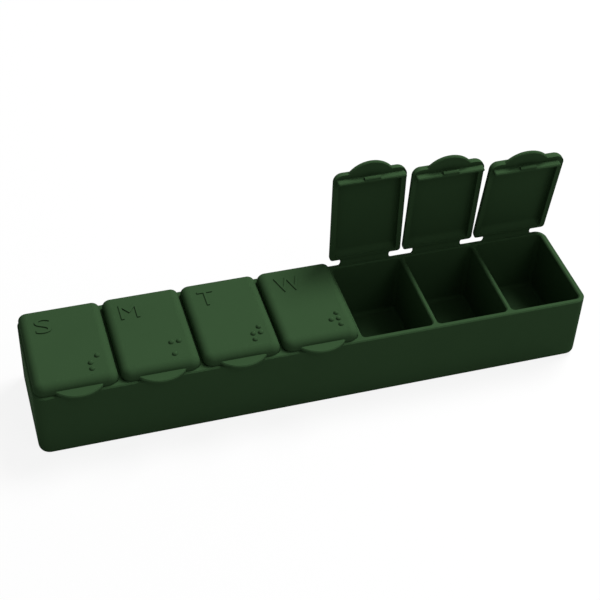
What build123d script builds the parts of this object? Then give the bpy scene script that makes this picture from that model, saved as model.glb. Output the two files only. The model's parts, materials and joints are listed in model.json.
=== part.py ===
from build123d import *
import os
from math import cos, isclose, radians, sin, sqrt

# Weekly pill box: a divided tray with one snap lid for each day, each on its own living hinge.
# Millimetres and degrees. +X runs along the row of days, +Y points to the hinge side and +Z is up.
# The origin is the centre of the tray's flat underside.

# Tray
compartments = 7
tray_length = 150.0
tray_depth = 30.8
tray_height = 20.6
tray_corner_radius = 3.0
base_edge_radius = 1.8
end_wall = 1.55
long_wall = 1.5
divider = 1.2
tray_floor = 1.6
pocket_corner_radius = 1.2
pocket_floor_radius = 1.0
rim_chamfer = 0.3

# Lids: the outer cap
lid_height = 2.85
lid_gap = 0.75
lid_end_setback = 0.4
lid_front_setback = 0.75
lid_rear_setback = 1.4
lid_corner_radius = 2.6
lid_edge_radius = 2.2
lid_rear_radius = 0.9
seam_gap = 0.1

# Lids: the hollow under the cap
lid_top = 0.95
lid_side_wall = 1.4
lid_rear_wall = 0.7
hollow_front_radius = 1.2
hollow_rear_radius = 1.8
hollow_side_radius = 0.8

# Lids: the lip that goes down behind the tray's front wall, with its snap bead
lip_thickness = 0.9
lip_depth = 2.0
lip_front_gap = 0.5
lip_side_gap = 0.45
lip_corner_radius = 0.5
lip_tip_chamfer = 0.25
bead_radius = 0.6
bead_width = 4.4
bead_from_tip = 0.65
bead_clearance = 0.2

# Lids: the thumb tab
tab_corner_gap = 1.5
tab_reach = 3.0
tab_thickness = 1.1
tab_chamfer = 0.25

# Living hinges
hinge_inset = 0.1
hinge_rise = 0.8
strip_thickness = 0.5
strip_seam_margin = 0.3
strip_inset = 2.7
strip_notch_radius = 1.2
strip_notch_depth = 0.5

# How far each lid that isn't shut stands open, by its place in the row
rest_openings = {5: 91.5, 6: 86.5, 7: 81.5}

# Places worked out from the sizes above
touch = 1e-4
fillet_margin = 0.05
tray_rear = tray_depth / 2
pocket_length = (tray_length - 2 * end_wall - (compartments - 1) * divider) / compartments
pocket_depth = tray_depth - 2 * long_wall
pocket_pitch = pocket_length + divider
lid_reach = (pocket_pitch - lid_gap) / 2
end_lid_reach = pocket_length / 2 + end_wall - lid_end_setback
hinge_y = tray_rear - hinge_inset
hinge_z = tray_height + hinge_rise

# The same places seen from a lid's hinge axis: depths are negative towards the lid's front
seam_level = seam_gap - hinge_rise
lid_rear = hinge_inset - lid_rear_setback
lid_front = lid_front_setback - tray_depth + hinge_inset
lip_front = long_wall + lip_front_gap - tray_depth + hinge_inset
lip_rear = lip_front + lip_thickness
bead_level = seam_level - lip_depth + bead_from_tip
hollow_rear = lid_rear - lid_rear_wall
hollow_depth = lid_height - lid_top
lip_width = pocket_length - 2 * lip_side_gap
strip_width = 2 * (lid_reach - strip_inset)
strip_level = seam_level + strip_seam_margin + strip_thickness / 2
strip_root = tray_rear - rim_chamfer - strip_thickness / 2
tab_half = lid_reach - lid_corner_radius - tab_corner_gap
tab_radius = (tab_half**2 + tab_reach**2) / (2 * tab_reach)


def row_place(index):
    """X of the middle of one compartment."""
    return (index - (compartments + 1) / 2) * pocket_pitch


def lid_sides(index):
    """Left and right side of a lid, seen from the middle of its compartment."""
    left = end_lid_reach if index == 1 else lid_reach
    right = end_lid_reach if index == compartments else lid_reach
    return -left, right


def within(radius, *walls):
    """Fillet radius that leaves a little of the walls or corners beside it."""
    return min(radius, min(walls) - fillet_margin)


def lid_frame(index, opening):
    """Plane on a lid's hinge axis, turned with the lid, with +Z out of the lid's top."""
    turn = radians(opening)
    return Plane(
        origin=(row_place(index), hinge_y, hinge_z),
        x_dir=(1, 0, 0),
        z_dir=(0, sin(turn), cos(turn)),
    )


def make_tray():
    """Divided trough with a flat underside, soft outer edges and a snap groove in each front wall."""
    with BuildPart() as tray:
        with BuildSketch():
            RectangleRounded(tray_length, tray_depth, tray_corner_radius)
        extrude(amount=tray_height)
        fillet(tray.edges().group_by(Axis.Z)[0], within(base_edge_radius, tray_corner_radius))
        with BuildSketch(Plane.XY.offset(tray_floor)):
            with GridLocations(pocket_pitch, pocket_depth, compartments, 1):
                RectangleRounded(pocket_length, pocket_depth, pocket_corner_radius)
        extrude(amount=tray_height - tray_floor, mode=Mode.SUBTRACT)
        pocket_edges = tray.edges(Select.LAST)
        fillet(pocket_edges.group_by(Axis.Z)[0], within(pocket_floor_radius, pocket_corner_radius))
        chamfer(tray.edges().group_by(Axis.Z)[-1], rim_chamfer)
        for index in range(1, compartments + 1):
            with BuildSketch(Plane.YZ.offset(row_place(index))):
                with Locations((hinge_y + lip_front, hinge_z + bead_level)):
                    Circle(bead_radius + bead_clearance)
            extrude(amount=bead_width / 2 + bead_clearance, both=True, mode=Mode.SUBTRACT)
    tray.part.label = "tray"
    return tray.part


def make_lid(index, opening):
    """Hollow cap with a lip, a snap bead and a thumb tab, turned about its hinge axis."""
    frame = lid_frame(index, opening)
    section = Plane(origin=frame.origin, x_dir=frame.y_dir, z_dir=frame.x_dir)
    out_of_top = Axis(frame.origin, frame.z_dir)
    to_rear = Axis(frame.origin, frame.y_dir)
    left, right = lid_sides(index)
    with BuildPart() as lid:
        with BuildSketch(frame.offset(seam_level)) as cap:
            with Locations(((left + right) / 2, (lid_front + lid_rear) / 2)):
                Rectangle(right - left, lid_rear - lid_front)
            fillet(cap.vertices().group_by(Axis.Y)[0], lid_corner_radius)
        extrude(amount=lid_height)
        top_edges = lid.edges().group_by(out_of_top)[-1].sort_by(to_rear)
        tab_backing = lid_height - tab_thickness / 2
        fillet(top_edges[:-1], within(lid_edge_radius, lid_corner_radius, tab_backing))
        rear_edges = lid.faces().sort_by(to_rear)[-1].edges().sort_by(out_of_top)
        fillet(rear_edges[1:], lid_rear_radius)

        with BuildSketch(section) as hollow:
            with Locations(((lip_rear + hollow_rear) / 2, seam_level)):
                Rectangle(hollow_rear - lip_rear, hollow_depth, align=(Align.CENTER, Align.MIN))
            front_corner = hollow.vertices().group_by(Axis.Y)[-1].sort_by(Axis.X)[0]
            fillet(front_corner, within(hollow_front_radius, hollow_depth))
            rear_corner = hollow.vertices().group_by(Axis.Y)[-1].sort_by(Axis.X)[-1]
            fillet(rear_corner, within(hollow_rear_radius, hollow_depth))
        extrude(amount=right - lid_side_wall, mode=Mode.SUBTRACT)
        extrude(hollow.sketch, amount=left + lid_side_wall, mode=Mode.SUBTRACT)
        for side in (left + lid_side_wall, right - lid_side_wall):
            wall = frame.origin.X + side
            wall_edges = lid.edges().filter_by_position(Axis.X, wall - touch, wall + touch)
            fillet(wall_edges.group_by(out_of_top)[1:], within(hollow_side_radius, hollow_front_radius))

        with BuildSketch(frame.offset(seam_level)) as lip:
            with Locations((0, (lip_front + lip_rear) / 2)):
                Rectangle(lip_width, lip_thickness)
            fillet(lip.vertices().group_by(Axis.Y)[0], lip_corner_radius)
        extrude(amount=-lip_depth)
        chamfer(lid.edges().group_by(out_of_top)[0], lip_tip_chamfer)

        with BuildSketch(section):
            with Locations((lip_front, bead_level)):
                Circle(bead_radius)
        extrude(amount=bead_width / 2, both=True)

        with BuildSketch(frame.offset(seam_level)):
            with BuildLine():
                tab_tip = (0, lid_front - tab_reach)
                edge = ThreePointArc((-tab_half, lid_front), tab_tip, (tab_half, lid_front))
                Polyline(edge @ 1, (tab_half, lip_front), (-tab_half, lip_front), edge @ 0)
            make_face()
        extrude(amount=tab_thickness)
        arcs = lid.edges().filter_by(GeomType.CIRCLE)
        chamfer(arcs.filter_by(lambda arc: isclose(arc.radius, tab_radius, abs_tol=touch)), tab_chamfer)
    lid.part.label = f"lid_{index}"
    return lid.part


def biarc_joint(start, start_heading, end, end_heading):
    """Point where two tangent arcs meet that lead from one point and heading to another."""
    run = end - start
    along = run.dot(start_heading + end_heading)
    spread = 2 * (1 - start_heading.dot(end_heading))
    if spread < touch:
        handle = run.dot(run) / (2 * along)
    else:
        handle = (sqrt(along**2 + spread * run.dot(run)) - along) / spread
    return (start + start_heading * handle + end - end_heading * handle) / 2


def make_hinge_strip(index, opening):
    """Thin strip with a waist that leaves the rear rim upwards and bends into the lid's rear face."""
    frame = lid_frame(index, opening)
    side_view = Plane.YZ.offset(frame.origin.X)
    root, upwards = Vector(strip_root, tray_height), Vector(0, 1)
    tip = side_view.to_local_coords(frame.from_local_coords(Vector(0, lid_rear, strip_level)))
    into_lid = Vector(-frame.y_dir.Y, -frame.y_dir.Z)
    middle = biarc_joint(root, upwards, tip, into_lid)
    first_bend = TangentArc(root, middle, tangent=upwards)
    second_bend = TangentArc(middle, tip, tangent=first_bend % 1)
    heading = first_bend % 1
    waist = Plane(
        origin=side_view.from_local_coords(middle),
        x_dir=(1, 0, 0),
        z_dir=(0, -heading.Y, heading.X),
    )
    notch_place = strip_width / 2 + strip_notch_radius - strip_notch_depth
    with BuildPart() as strip:
        with BuildSketch(side_view):
            trace([first_bend, second_bend], line_width=strip_thickness)
        extrude(amount=strip_width / 2, both=True)
        with BuildSketch(waist):
            with Locations((-notch_place, 0), (notch_place, 0)):
                Circle(strip_notch_radius)
        extrude(amount=lid_rear_setback, both=True, mode=Mode.SUBTRACT)
    strip.part.label = f"hinge_strip_{index}"
    return strip.part


os.makedirs("parts", exist_ok=True)
pieces = [make_tray()]
for place in range(1, compartments + 1):
    rest_opening = rest_openings.get(place, 0.0)
    pieces.append(make_lid(place, rest_opening))
    pieces.append(make_hinge_strip(place, rest_opening))
for piece in pieces:
    export_step(piece, f"parts/{piece.label}.step")
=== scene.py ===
"""Weekly pill box: its moulded finish, the raised day marks, the bending hinge strips and the studio."""

import json
import logging
from dataclasses import dataclass
from enum import Enum
from math import cos, radians, sin, sqrt

import bmesh
import bpy
from mathutils import Color, Matrix, Vector
from mathutils.geometry import interpolate_bezier


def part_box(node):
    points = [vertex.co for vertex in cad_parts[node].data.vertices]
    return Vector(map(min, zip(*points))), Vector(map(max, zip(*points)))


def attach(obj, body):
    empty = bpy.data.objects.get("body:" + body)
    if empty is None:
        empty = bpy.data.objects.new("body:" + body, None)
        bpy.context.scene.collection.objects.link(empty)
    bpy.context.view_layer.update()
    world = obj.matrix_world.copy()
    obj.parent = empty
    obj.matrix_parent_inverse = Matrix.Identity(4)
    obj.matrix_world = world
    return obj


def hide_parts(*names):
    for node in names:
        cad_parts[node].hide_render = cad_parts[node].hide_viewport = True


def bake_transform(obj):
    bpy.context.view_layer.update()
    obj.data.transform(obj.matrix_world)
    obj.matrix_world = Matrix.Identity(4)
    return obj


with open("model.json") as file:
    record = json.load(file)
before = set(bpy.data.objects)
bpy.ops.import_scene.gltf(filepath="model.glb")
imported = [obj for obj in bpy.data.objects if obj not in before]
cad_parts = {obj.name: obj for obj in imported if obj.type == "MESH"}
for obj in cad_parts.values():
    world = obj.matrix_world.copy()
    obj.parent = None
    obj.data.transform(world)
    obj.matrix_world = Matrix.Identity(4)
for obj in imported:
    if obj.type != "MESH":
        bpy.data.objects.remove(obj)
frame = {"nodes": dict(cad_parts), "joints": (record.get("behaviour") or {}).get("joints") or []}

MM = 0.001
FULL_LEVEL = 255
WHITE = (1.0, 1.0, 1.0, 1.0)
UP = Vector((0, 0, 1))
SHARP_ANGLE = radians(40)
WELD = 0.001 * MM
log = logging.getLogger("pill_box")


def srgb(red: int, green: int, blue: int) -> Color:
    """Turns a colour as a screen shows it into the linear colour that a shader takes.

    Args:
        red: Red level, 0 to 255.
        green: Green level, 0 to 255.
        blue: Blue level, 0 to 255.

    Returns:
        The linear colour.
    """
    shown = Color((red / FULL_LEVEL, green / FULL_LEVEL, blue / FULL_LEVEL))
    return shown.from_srgb_to_scene_linear()


@dataclass(frozen=True)
class Clouds:
    """Layered noise in an object's own coordinates.

    Attributes:
        size: Width of one cloud, in metres.
        detail: Finer layers within a cloud.
        falloff: Strength of each finer layer, as a share of the one before.
    """

    size: float
    detail: float
    falloff: float


class Shader:
    """Node tree of a material or a sky, with short calls to add and join its nodes."""

    def __init__(self, owner: bpy.types.Material | bpy.types.World) -> None:
        """Starts with an empty tree.

        Args:
            owner: The new material or world that the tree belongs to.
        """
        owner.use_nodes = True
        self.tree = owner.node_tree
        self.tree.nodes.clear()

    def add(
        self, kind: str, inputs: dict[str | int, object] | None = None, **settings: object
    ) -> bpy.types.Node:
        """Adds a node.

        Args:
            kind: Blender's name of the node type.
            inputs: What goes into the node's sockets: a value, or another node's output socket.
            settings: Properties of the node itself.

        Returns:
            The new node.
        """
        node = self.tree.nodes.new(kind)
        for name, value in settings.items():
            setattr(node, name, value)
        for name, value in (inputs or {}).items():
            if isinstance(value, bpy.types.NodeSocket):
                self.tree.links.new(value, node.inputs[name])
            else:
                node.inputs[name].default_value = value
        return node

    def noise(self, place: bpy.types.NodeSocket, clouds: Clouds) -> bpy.types.NodeSocket:
        """Adds layered noise.

        Args:
            place: Coordinates that the noise follows.
            clouds: Size and layers of the noise.

        Returns:
            The noise, from 0 to 1.
        """
        layers = {"Scale": 1 / clouds.size, "Detail": clouds.detail, "Roughness": clouds.falloff}
        return self.add("ShaderNodeTexNoise", {"Vector": place, **layers}).outputs["Fac"]

    def span(self, share: bpy.types.NodeSocket, low: float, high: float) -> bpy.types.NodeSocket:
        """Spreads a share over a range.

        Args:
            share: Share from 0 to 1.
            low: Value where the share is 0.
            high: Value where the share is 1.

        Returns:
            The value in the range.
        """
        limits = {"Value": share, "To Min": low, "To Max": high}
        return self.add("ShaderNodeMapRange", limits).outputs["Result"]

    def seen(self) -> bpy.types.NodeSocket:
        """Tells what the eye sees from the light that falls on the box.

        Returns:
            A mask that is 1 for rays from the camera, gloss or glass, and 0 for other rays.
        """
        light = self.add("ShaderNodeLightPath").outputs
        mask = light["Is Camera Ray"]
        for ray in ("Is Glossy Ray", "Is Transmission Ray"):
            either = self.add("ShaderNodeMath", {0: mask, 1: light[ray]}, operation="MAXIMUM")
            mask = either.outputs["Value"]
        return mask


@dataclass(frozen=True)
class MouldedPlastic:
    """Dyed plastic from a mould with a fine spark-eroded grain.

    Attributes:
        name: Name of the material.
        colour: Mean colour of the dyed plastic.
        tone: Clouds of lighter and darker dye.
        tone_spread: How far the dye's tone swings round the mean, as a share.
        roughness: Mean roughness of the surface.
        roughness_spread: How far the roughness swings round the mean.
        sheen: Patches of smoother and rougher surface.
        specular: Strength of the surface's own reflection.
        grain: Grain of the mould's texture.
        grain_depth: Height of one grain, in metres.
        grain_strength: Share of the grain's slope that the shading takes.
    """

    name: str
    colour: Color
    tone: Clouds
    tone_spread: float
    roughness: float
    roughness_spread: float
    sheen: Clouds
    specular: float
    grain: Clouds
    grain_depth: float
    grain_strength: float

    def material(self) -> bpy.types.Material:
        """Builds the material.

        Returns:
            A material whose tone, roughness and grain follow the object's own coordinates.
        """
        material = bpy.data.materials.new(self.name)
        shader = Shader(material)
        place = shader.add("ShaderNodeTexCoord").outputs["Object"]
        swing = shader.span(shader.noise(place, self.tone), 1 - self.tone_spread, 1 + self.tone_spread)
        tone = shader.add("ShaderNodeVectorMath", {0: self.colour, "Scale": swing}, operation="SCALE")
        smoothest = self.roughness - self.roughness_spread
        roughest = self.roughness + self.roughness_spread
        relief = shader.add(
            "ShaderNodeBump",
            {
                "Height": shader.noise(place, self.grain),
                "Strength": self.grain_strength,
                "Distance": self.grain_depth,
            },
        )
        surface = shader.add(
            "ShaderNodeBsdfPrincipled",
            {
                "Base Color": tone.outputs["Vector"],
                "Roughness": shader.span(shader.noise(place, self.sheen), smoothest, roughest),
                "Normal": relief.outputs["Normal"],
                "Specular IOR Level": self.specular,
            },
        )
        shader.add("ShaderNodeOutputMaterial", {"Surface": surface.outputs["BSDF"]})
        return material


GREEN_PLASTIC = MouldedPlastic(
    name="green_moulded_plastic",
    colour=srgb(54, 80, 51),
    tone=Clouds(size=14 * MM, detail=3.0, falloff=0.55),
    tone_spread=0.05,
    roughness=0.85,
    roughness_spread=0.05,
    sheen=Clouds(size=4 * MM, detail=2.0, falloff=0.5),
    specular=0.01,
    grain=Clouds(size=0.22 * MM, detail=2.0, falloff=0.6),
    grain_depth=0.02 * MM,
    grain_strength=0.35,
)


class Initial(Enum):
    """Initial of a day: its width in millimetres and the numbers of its dots in a braille cell."""

    S = (4.1, (2, 3, 4))
    M = (4.9, (1, 3, 4))
    T = (4.1, (2, 3, 4, 5))
    W = (6.8, (2, 4, 5, 6))
    F = (3.7, (1, 2, 4))

    @property
    def width(self) -> float:
        """Width of the letter, in metres."""
        return self.value[0] * MM

    @property
    def dots(self) -> tuple[int, ...]:
        """Numbers of the raised dots, counted down the left column and then down the right one."""
        return self.value[1]


WEEK = (Initial.S, Initial.M, Initial.T, Initial.W, Initial.T, Initial.F, Initial.S)


def dress_node(node: str, material: bpy.types.Material) -> None:
    """Gives a CAD node its finish.

    Args:
        node: Name of the node.
        material: The finish.
    """
    for material_slot in frame["nodes"][node].material_slots:
        material_slot.material = material


def mesh_from(shape: bmesh.types.BMesh) -> bpy.types.Mesh:
    """Turns a bmesh into a mesh whose faces point outwards.

    Args:
        shape: The finished bmesh, which is freed.

    Returns:
        The new mesh.
    """
    bmesh.ops.recalc_face_normals(shape, faces=shape.faces)
    mesh = bpy.data.meshes.new("mesh")
    shape.to_mesh(mesh)
    shape.free()
    return mesh


def new_piece(name: str, shape: bmesh.types.BMesh, material: bpy.types.Material) -> bpy.types.Object:
    """Puts a finished shape into the scene as a piece of the box.

    Args:
        name: Name of the piece.
        shape: Closed shape with its place already in it, which is freed.
        material: Finish of the piece.

    Returns:
        The new object, at the origin.
    """
    mesh = mesh_from(shape)
    mesh.name = name
    mesh.materials.append(material)
    mesh.shade_smooth()
    mesh.set_sharp_from_angle(angle=SHARP_ANGLE)
    piece = bpy.data.objects.new(name, mesh)
    bpy.context.scene.collection.objects.link(piece)
    return piece


@dataclass
class Tray:
    """Divided trough that carries the hinges.

    Attributes:
        node: Name of the tray's CAD node.
    """

    node: str = "tray"

    def dress(self, material: bpy.types.Material) -> None:
        """Gives the tray its finish."""
        dress_node(self.node, material)


@dataclass
class Lid:
    """One day's lid with its raised letter and braille cell.

    Attributes:
        number: Place of the lid in the row, from 1.
        initial: Initial of the lid's day.
        hinge: Middle of the lid's hinge axis.
        opening: How far the lid stands open at rest, in degrees.
        top: Height of the lid's top face over the hinge axis.
        letter_inset: Distance of the letter from the lid's left side.
        letter_foot: Lower edge of the letter, from the hinge axis.
        letter_height: Height of the capital letter.
        letter_rise: How far the letter stands out of the top.
        cell_left: Left column of the braille cell, from the hinge's middle.
        cell_head: Upper row of the braille cell, from the hinge axis.
        cell_rows: Rows of dots in a braille cell.
        dot_columns: Distance of the two columns.
        dot_rows: Distance of two rows.
        dot_radius: Radius of a dot where it meets the top.
        dot_rise: How far a dot stands out of the top.
        dot_sides: Faces round a dot.
        dot_rings: Rings of faces on the whole ball that a dot is cut from.
        sink: How deep the marks are rooted in the top.
    """

    number: int
    initial: Initial
    hinge: Vector
    opening: float
    top: float = 2.15 * MM
    letter_inset: float = 3.8 * MM
    letter_foot: float = -10.4 * MM
    letter_height: float = 5.5 * MM
    letter_rise: float = 0.32 * MM
    cell_left: float = 4.15 * MM
    cell_head: float = -21.6 * MM
    cell_rows: int = 3
    dot_columns: float = 2.0 * MM
    dot_rows: float = 2.17 * MM
    dot_radius: float = 0.72 * MM
    dot_rise: float = 0.6 * MM
    dot_sides: int = 20
    dot_rings: int = 14
    sink: float = 0.05 * MM

    @property
    def body(self) -> str:
        """Name of the lid's body and of its CAD node."""
        return f"lid_{self.number}"

    @property
    def place(self) -> Matrix:
        """Turn and place of the open lid: the hinge axis is the origin and +Z points out of the top."""
        return Matrix.Translation(self.hinge) @ Matrix.Rotation(radians(-self.opening), 4, "X")

    def dress(self, material: bpy.types.Material) -> None:
        """Gives the lid its finish."""
        dress_node(self.body, material)

    def drawn_letter(self) -> bmesh.types.BMesh:
        """Draws the day's letter with a depth, before it has its own size and place.

        Returns:
            The letter in the font's own size.
        """
        name = self.initial.name
        text = bpy.data.curves.new(name, "FONT")
        text.body = name
        text.extrude = self.letter_rise
        lettering = bpy.data.objects.new(name, text)
        mesh = bpy.data.meshes.new_from_object(lettering)
        bpy.data.objects.remove(lettering)
        bpy.data.curves.remove(text)
        shape = bmesh.new()
        shape.from_mesh(mesh)
        bpy.data.meshes.remove(mesh)
        return shape

    def letter(self, material: bpy.types.Material) -> bpy.types.Object:
        """Raises the day's letter on the lid's top.

        Args:
            material: Finish of the lid.

        Returns:
            The letter, which rides on the lid.
        """
        shape = self.drawn_letter()
        corners = [vertex.co for vertex in shape.verts]
        low = Vector(min(values) for values in zip(*corners))
        high = Vector(max(values) for values in zip(*corners))
        size = Vector((self.initial.width, self.letter_height, self.letter_rise + self.sink))
        grow = Matrix.Diagonal([made / drawn for made, drawn in zip(size, high - low)]).to_4x4()
        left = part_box(self.body)[0].x - self.hinge.x + self.letter_inset
        seat = Vector((left, self.letter_foot, self.top - self.sink))
        settle = self.place @ Matrix.Translation(seat) @ grow @ Matrix.Translation(-low)
        bmesh.ops.transform(shape, matrix=settle, verts=shape.verts)
        bmesh.ops.remove_doubles(shape, verts=shape.verts, dist=WELD)
        bmesh.ops.dissolve_degenerate(shape, edges=shape.edges, dist=WELD)
        piece = new_piece(f"letter_{self.number}", shape, material)
        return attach(piece, self.body)

    def braille(self, material: bpy.types.Material) -> bpy.types.Object:
        """Raises the letter's braille dots on the lid's top.

        Args:
            material: Finish of the lid.

        Returns:
            The dots, which ride on the lid.
        """
        shape = bmesh.new()
        squat = Matrix.Diagonal((self.dot_radius, self.dot_radius, self.dot_rise, 1))
        for dot in self.initial.dots:
            column, row = divmod(dot - 1, self.cell_rows)
            across = self.cell_left + column * self.dot_columns
            along = self.cell_head - row * self.dot_rows
            bmesh.ops.create_uvsphere(
                shape,
                u_segments=self.dot_sides,
                v_segments=self.dot_rings,
                radius=1,
                matrix=self.place @ Matrix.Translation((across, along, self.top)) @ squat,
            )
        cut = bmesh.ops.bisect_plane(
            shape,
            geom=shape.verts[:] + shape.edges[:] + shape.faces[:],
            plane_co=self.place @ Vector((0, 0, self.top - self.sink)),
            plane_no=self.place.to_3x3() @ UP,
            clear_inner=True,
        )
        rims = [edge for edge in cut["geom_cut"] if isinstance(edge, bmesh.types.BMEdge)]
        bmesh.ops.holes_fill(shape, edges=rims, sides=0)
        piece = new_piece(f"braille_{self.number}", shape, material)
        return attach(piece, self.body)


@dataclass
class HingeStrip:
    """Thin web that bends between the tray's rear rim and the rear of one lid.

    Attributes:
        lid: The lid that the strip carries.
        width: Width of the web beside its notches.
        thickness: Thickness of the web.
        rim_setback: Distance of the web's middle from the tray's rear face.
        lid_end_depth: Depth of the lid's rear face, from the hinge axis.
        lid_end_level: Level of the web's middle at that face, from the hinge axis.
        root: How far the web is rooted in the tray and in the lid.
        handle: Share of the span at which the web keeps the direction that it leaves an end in.
        rows: Rows of faces along the web.
        notch_radius: Radius of the round notch in each side of the web.
        notch_depth: Depth of that notch.
    """

    lid: Lid
    width: float = 15.0 * MM
    thickness: float = 0.5 * MM
    rim_setback: float = 0.55 * MM
    lid_end_depth: float = -1.3 * MM
    lid_end_level: float = -0.15 * MM
    root: float = 0.1 * MM
    handle: float = 0.4
    rows: int = 24
    notch_radius: float = 1.2 * MM
    notch_depth: float = 0.5 * MM

    @property
    def node(self) -> str:
        """Name of the CAD node that the strip stands for."""
        return f"hinge_strip_{self.lid.number}"

    def path(self) -> list[Vector]:
        """Draws the middle line of the web, from the tray's rim to the lid's rear face.

        Returns:
            Points along the line, one more than there are rows.
        """
        tray_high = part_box("tray")[1]
        rim = Vector((self.lid.hinge.x, tray_high.y - self.rim_setback, tray_high.z))
        end = self.lid.place @ Vector((0, self.lid_end_depth, self.lid_end_level))
        into_lid = self.lid.place.to_3x3() @ Vector((0, -1, 0))
        reach = (end - rim).length * self.handle
        first = rim - UP * self.root
        last = end + into_lid * self.root
        return interpolate_bezier(first, rim + UP * reach, end - into_lid * reach, last, self.rows + 1)

    def side(self, distance: float) -> Vector:
        """Finds the side of the web.

        Args:
            distance: Distance along the web from its middle.

        Returns:
            The way from the middle line to the right side, less what the round notch takes there.
        """
        chord = self.notch_radius**2 - distance**2
        sag = self.notch_radius - sqrt(chord) if chord > 0 else self.notch_radius
        return Vector((self.width / 2 - max(0.0, self.notch_depth - sag), 0, 0))

    def sheet(self, points: list[Vector]) -> bmesh.types.BMesh:
        """Draws the web with no thickness yet.

        Args:
            points: Points along the middle line.

        Returns:
            The sheet along that line.
        """
        steps = [(after - before).length for before, after in zip(points, points[1:])]
        along = -sum(steps) / 2
        shape = bmesh.new()
        ends = (points[0] - self.side(along), points[0] + self.side(along))
        edge = shape.edges.new([shape.verts.new(end) for end in ends])
        for point, step in zip(points[1:], steps):
            along += step
            made = bmesh.ops.extrude_edge_only(shape, edges=[edge])["geom"]
            edge = next(item for item in made if isinstance(item, bmesh.types.BMEdge))
            side = self.side(along)
            for vertex in edge.verts:
                vertex.co = point + side if vertex.co.x > point.x else point - side
        bmesh.ops.recalc_face_normals(shape, faces=shape.faces)
        shape.normal_update()
        return shape

    def build(self, material: bpy.types.Material) -> bpy.types.Object:
        """Makes the web in its rest shape.

        Args:
            material: Finish of the box.

        Returns:
            The strip, in its rest shape between the tray and the lid.
        """
        points = self.path()
        shape = self.sheet(points)
        # The thickness grows against the normals, so half of it is first given the other way.
        for vertex in shape.verts:
            vertex.co += vertex.normal * self.thickness / 2
        bmesh.ops.solidify(shape, geom=shape.faces[:], thickness=self.thickness)
        piece = new_piece(self.node + "_web", shape, material)
        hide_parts(self.node)
        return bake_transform(piece)


@dataclass(frozen=True)
class SoftLamp:
    """Square soft lamp that is aimed at the box.

    Attributes:
        name: Name of the lamp.
        stand: Where the lamp hangs, from the middle of the box.
        size: Side of the square.
        power: Power in watts.
    """

    name: str
    stand: tuple[float, float, float]
    size: float
    power: float

    def hang(self) -> None:
        """Puts the lamp into the scene and aims it at the box."""
        data = bpy.data.lights.new(self.name, "AREA")
        data.size = self.size
        data.energy = self.power
        lamp = bpy.data.objects.new(self.name, data)
        lamp.location = self.stand
        lamp.rotation_euler = (-lamp.location).to_track_quat("-Z", "Y").to_euler()
        bpy.context.scene.collection.objects.link(lamp)


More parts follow.
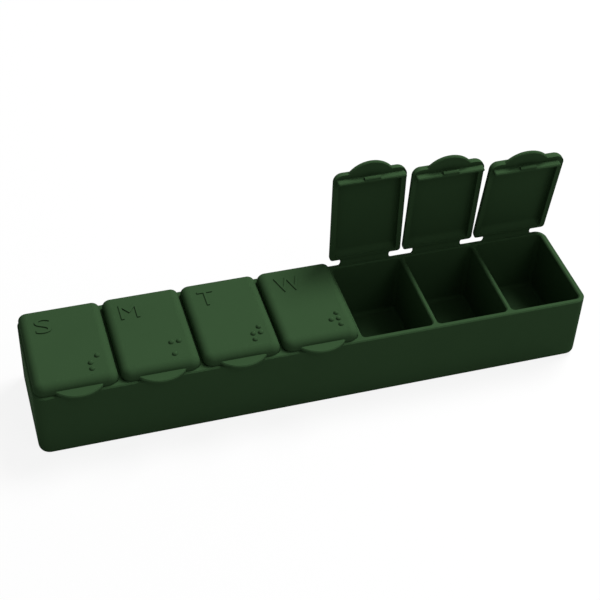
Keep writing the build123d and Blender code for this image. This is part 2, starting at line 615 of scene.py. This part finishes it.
@dataclass
class Studio:
    """White floor and sky, soft lamps and the camera at the photograph's angle.

    Attributes:
        floor_size: Side of the square floor.
        floor_bounce: Share of the light that the floor throws back at the box.
        floor_shadow: Share of the floor's white that the camera sees dim in shadow.
        sky_light: Strength of the sky as a lamp.
        lamps: The main lamp, high at the right rear, and a weak one in front.
        eye: Where the camera stands.
        azimuth: Turn of the camera round the box, in degrees; at 0 it looks along +Y.
        elevation: Angle of the camera over the horizon, in degrees.
        roll: Turn of the camera about its own line of sight, in degrees.
        focal_px: Focal length in pixels of the photograph's frame.
        frame_px: Side of the photograph's frame, in pixels.
        sensor: Width of the camera's sensor, in millimetres.
        clip_start: Distance from which the camera sees.
    """

    floor_size: float = 4.0
    floor_bounce: float = 0.4
    floor_shadow: float = 0.12
    sky_light: float = 0.2
    lamps: tuple[SoftLamp, ...] = (
        SoftLamp("high_lamp", stand=(0.45, 0.22, 0.78), size=0.4, power=8.4),
        SoftLamp("front_lamp", stand=(0.35, -0.65, 0.7), size=0.5, power=1.05),
    )
    eye: tuple[float, float, float] = (-89.99 * MM, -267.64 * MM, 282.85 * MM)
    azimuth: float = -18.21
    elevation: float = 42.53
    roll: float = 2.63
    focal_px: float = 1446.3
    frame_px: float = 600.0
    sensor: float = 36.0
    clip_start: float = 10 * MM

    def floor(self) -> None:
        """Lays the plain white floor, which keeps a soft shadow of the box."""
        material = bpy.data.materials.new("white_floor")
        shader = Shader(material)
        seen = shader.seen()
        glow = shader.add("ShaderNodeEmission", {"Strength": shader.span(seen, 0.0, 1 - self.floor_shadow)})
        grey = shader.span(seen, self.floor_bounce, self.floor_shadow)
        matt = shader.add("ShaderNodeBsdfDiffuse", {"Color": grey})
        both = shader.add("ShaderNodeAddShader", {0: glow.outputs["Emission"], 1: matt.outputs["BSDF"]})
        shader.add("ShaderNodeOutputMaterial", {"Surface": both.outputs["Shader"]})
        shape = bmesh.new()
        bmesh.ops.create_grid(shape, x_segments=1, y_segments=1, size=self.floor_size / 2)
        mesh = mesh_from(shape)
        mesh.materials.append(material)
        floor = bpy.data.objects.new("floor", mesh)
        bpy.context.scene.collection.objects.link(floor)

    def sky(self) -> None:
        """Fills the room with even light under a white sky."""
        world = bpy.data.worlds.new("white_sky")
        bpy.context.scene.world = world
        shader = Shader(world)
        level = shader.span(shader.seen(), self.sky_light, 1.0)
        sky = shader.add("ShaderNodeBackground", {"Color": WHITE, "Strength": level})
        shader.add("ShaderNodeOutputWorld", {"Surface": sky.outputs["Background"]})

    def camera(self) -> None:
        """Sets the camera at the photograph's angle."""
        data = bpy.data.cameras.new("photo_camera")
        data.sensor_width = self.sensor
        data.lens = self.focal_px / self.frame_px * self.sensor
        data.clip_start = self.clip_start
        camera = bpy.data.objects.new("photo_camera", data)
        turn = radians(self.azimuth)
        tilt = radians(self.elevation)
        back = Vector((sin(turn) * cos(tilt), -cos(turn) * cos(tilt), sin(tilt)))
        right = Vector((cos(turn), sin(turn), 0))
        axes = Matrix((right, back.cross(right), back)).transposed().to_4x4()
        roll = Matrix.Rotation(radians(self.roll), 4, "Z")
        camera.matrix_world = Matrix.Translation(self.eye) @ axes @ roll
        bpy.context.scene.collection.objects.link(camera)
        bpy.context.scene.camera = camera

    def build(self) -> None:
        """Lays the floor, lights the room and sets the camera."""
        self.floor()
        self.sky()
        for lamp in self.lamps:
            lamp.hang()
        self.camera()


def main() -> None:
    """Dresses the box piece by piece and sets up the studio."""
    logging.basicConfig(level=logging.INFO, format="%(name)s: %(message)s")
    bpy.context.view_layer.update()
    bpy.context.scene.view_settings.view_transform = "Standard"
    plastic = GREEN_PLASTIC.material()
    tray = Tray()
    tray.dress(plastic)
    log.info("%s dressed", tray.node)
    hinges = {joint["child"]: joint for joint in frame["joints"]}
    for number, initial in enumerate(WEEK, start=1):
        joint = hinges[f"lid_{number}"]
        lid = Lid(number, initial, hinge=Vector(joint["pos_m"]), opening=-joint["range_deg"][0])
        lid.dress(plastic)
        log.info("%s dressed", lid.body)
        for piece in (lid.letter(plastic), lid.braille(plastic), HingeStrip(lid).build(plastic)):
            log.info("%s made for %s", piece.name, lid.body)
    Studio().build()
    log.info("studio set up")


if __name__ == "__main__":
    main()
